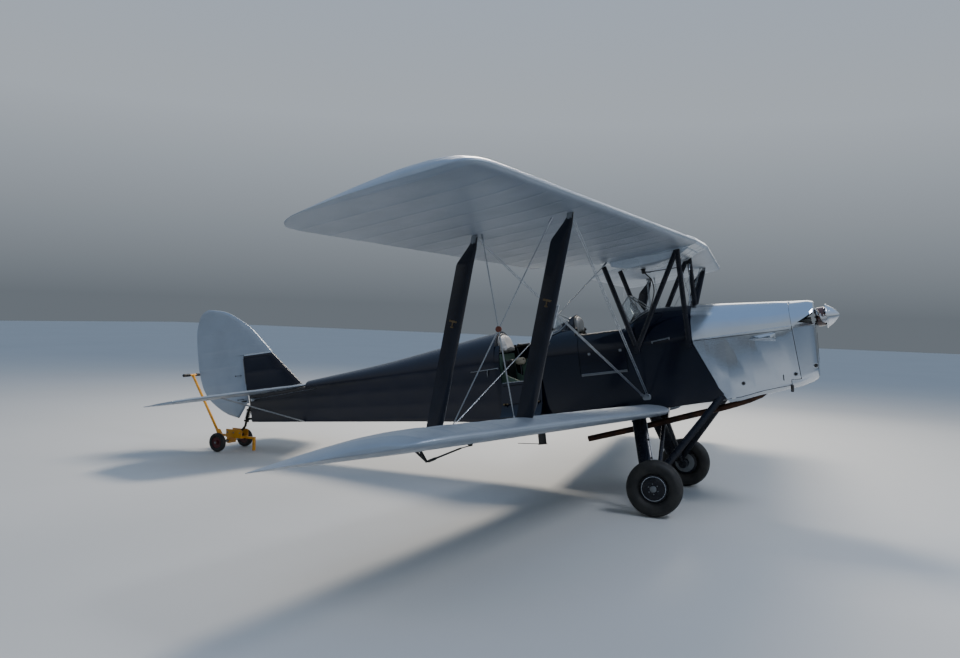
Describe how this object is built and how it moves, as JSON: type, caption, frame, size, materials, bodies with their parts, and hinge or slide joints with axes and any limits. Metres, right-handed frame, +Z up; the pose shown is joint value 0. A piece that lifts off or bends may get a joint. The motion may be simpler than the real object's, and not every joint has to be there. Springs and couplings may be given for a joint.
{
  "type": "two-seat biplane trainer on a tail dolly",
  "caption": "Single-engine biplane with two open cockpits, struts and wire bracing, fixed wheels, and its tail skid on a hand dolly.",
  "frame": {"origin": "on the floor, under the middle of the whole with its tail dolly, on the centre plane", "axes": "+X towards the propeller, +Y to port along the wings, +Z up from the floor that the wheels stand on"},
  "size_m": [7.3878, 8.918, 2.5438],
  "materials": {
    "navy_fuselage": "gloss",
    "navy_fabric": "gloss",
    "navy_strut": "gloss",
    "navy_metal": "gloss",
    "silver_dope": "satin",
    "silver_tank": "satin",
    "polished_cowl": "polished",
    "firewall": "satin",
    "engine": "satin",
    "dark_wood": "gloss",
    "spinner": "polished",
    "exhaust": "matte",
    "wire": "satin",
    "glass": "clear",
    "seat": "satin",
    "leather": "satin",
    "tyre": "matte",
    "hub": "gloss",
    "dolly_frame": "gloss",
    "dolly_wheel": "matte",
    "skid": "satin"
  },
  "bodies": {
    "airframe": {"front_fuselage": "navy_fuselage", "rear_fuselage": "navy_fabric", "cowl_top": "polished_cowl", "cowl_bottom": "polished_cowl", "cowl_nose": "polished_cowl", "firewall": "firewall", "engine_block": "engine", "upper_wing_left": "silver_dope", "upper_wing_right": "silver_dope", "lower_wing_left": "silver_dope", "lower_wing_right": "silver_dope", "fuel_tank": "silver_tank", "interplane_strut_front_left": "navy_strut", "interplane_strut_front_right": "navy_strut", "interplane_strut_rear_left": "navy_strut", "interplane_strut_rear_right": "navy_strut", "cabane_left": "navy_metal", "cabane_right": "navy_metal", "flying_wire_front_left": "wire", "flying_wire_front_right": "wire", "flying_wire_rear_left": "wire", "flying_wire_rear_right": "wire", "landing_wire_left": "wire", "landing_wire_right": "wire", "incidence_wires_left": "wire", "incidence_wires_right": "wire", "tailplane": "silver_dope", "tailplane_strut_left": "navy_metal", "tailplane_strut_right": "navy_metal", "fin": "navy_fabric", "front_seat": "seat", "rear_seat": "seat", "front_windscreen": "glass", "rear_windscreen": "glass", "rear_headrest": "leather", "front_headrest": "leather", "exhaust_pipe": "exhaust", "gear_left": "navy_metal", "gear_right": "navy_metal", "tail_skid": "skid", "dolly_frame": "dolly_frame"},
    "propeller_unit": {"propeller": "dark_wood", "spinner": "spinner"},
    "main_wheel_left": {"tyre_left": "tyre", "wheel_left": "hub"},
    "main_wheel_right": {"tyre_right": "tyre", "wheel_right": "hub"},
    "dolly_roller_left": {"dolly_wheel_left": "dolly_wheel"},
    "dolly_roller_right": {"dolly_wheel_right": "dolly_wheel"},
    "rudder_unit": {"rudder": "silver_dope"},
    "elevator_unit": {"elevator": "silver_dope"},
    "aileron_unit_left": {"aileron_left": "silver_dope"},
    "aileron_unit_right": {"aileron_right": "silver_dope"},
    "front_door_unit_left": {"front_door_left": "navy_fuselage"},
    "front_door_unit_right": {"front_door_right": "navy_fuselage"},
    "rear_door_unit_left": {"rear_door_left": "navy_fuselage"},
    "rear_door_unit_right": {"rear_door_right": "navy_fuselage"},
    "cowl_flap_left": {"cowl_side_left": "polished_cowl"},
    "cowl_flap_right": {"cowl_side_right": "polished_cowl"}
  },
  "joints": [
    {"name": "propeller_spin", "type": "hinge", "parent": "airframe", "child": "propeller_unit", "pos_m": [3.54985, 0, 1.80742], "axis": [0.9868, 0, 0.1617], "continuous": true},
    {"name": "main_wheel_spin_left", "type": "hinge", "parent": "airframe", "child": "main_wheel_left", "pos_m": [2.25317, 0.789, 0.2467], "axis": [0, 1, 0], "continuous": true},
    {"name": "main_wheel_spin_right", "type": "hinge", "parent": "airframe", "child": "main_wheel_right", "pos_m": [2.25317, -0.789, 0.2467], "axis": [0, 1, 0], "continuous": true},
    {"name": "dolly_wheel_spin_left", "type": "hinge", "parent": "airframe", "child": "dolly_roller_left", "pos_m": [-3.05693, 0.248, 0.112], "axis": [0, 1, 0], "continuous": true},
    {"name": "dolly_wheel_spin_right", "type": "hinge", "parent": "airframe", "child": "dolly_roller_right", "pos_m": [-3.05693, -0.248, 0.112], "axis": [0, 1, 0], "continuous": true},
    {"name": "rudder_turn", "type": "hinge", "parent": "airframe", "child": "rudder_unit", "pos_m": [-2.84031, 0, 0.68228], "axis": [-0.1617, 0, 0.9868], "range_deg": [-25, 25]},
    {"name": "elevator_turn", "type": "hinge", "parent": "airframe", "child": "elevator_unit", "pos_m": [-2.6669, 0, 0.71246], "axis": [0, 1, 0], "range_deg": [-25, 25]},
    {"name": "aileron_turn_left", "type": "hinge", "parent": "airframe", "child": "aileron_unit_left", "pos_m": [1.10906, 2.04, 0.75182], "axis": [-0.1083, 0.9932, 0.0435], "range_deg": [-20, 20]},
    {"name": "aileron_turn_right", "type": "hinge", "parent": "airframe", "child": "aileron_unit_right", "pos_m": [1.10906, -2.04, 0.75182], "axis": [-0.1083, -0.9932, 0.0435], "range_deg": [-20, 20]},
    {"name": "front_door_turn_left", "type": "hinge", "parent": "airframe", "child": "front_door_unit_left", "pos_m": [1.63938, 0.306, 1.20962], "axis": [-0.9868, 0, -0.1617], "range_deg": [0, 150]},
    {"name": "front_door_turn_right", "type": "hinge", "parent": "airframe", "child": "front_door_unit_right", "pos_m": [1.63938, -0.306, 1.20962], "axis": [0.9868, 0, 0.1617], "range_deg": [0, 150]},
    {"name": "rear_door_turn_left", "type": "hinge", "parent": "airframe", "child": "rear_door_unit_left", "pos_m": [0.79563, 0.306, 1.07136], "axis": [-0.9868, 0, -0.1617], "range_deg": [0, 165]},
    {"name": "rear_door_turn_right", "type": "hinge", "parent": "airframe", "child": "rear_door_unit_right", "pos_m": [0.79563, -0.306, 1.07136], "axis": [0.9868, 0, 0.1617], "range_deg": [-165, 0]},
    {"name": "cowl_side_turn_left", "type": "hinge", "parent": "airframe", "child": "cowl_flap_left", "pos_m": [2.45902, 0.3045, 1.55065], "axis": [0.9793, -0.0662, 0.1911], "range_deg": [0, 95]},
    {"name": "cowl_side_turn_right", "type": "hinge", "parent": "airframe", "child": "cowl_flap_right", "pos_m": [2.45902, -0.3045, 1.55065], "axis": [-0.9793, -0.0662, -0.1911], "range_deg": [0, 95]}
  ],
  "couplings": [
    {"joint": "aileron_turn_right", "follows": "aileron_turn_left", "ratio": 1}
  ]
}
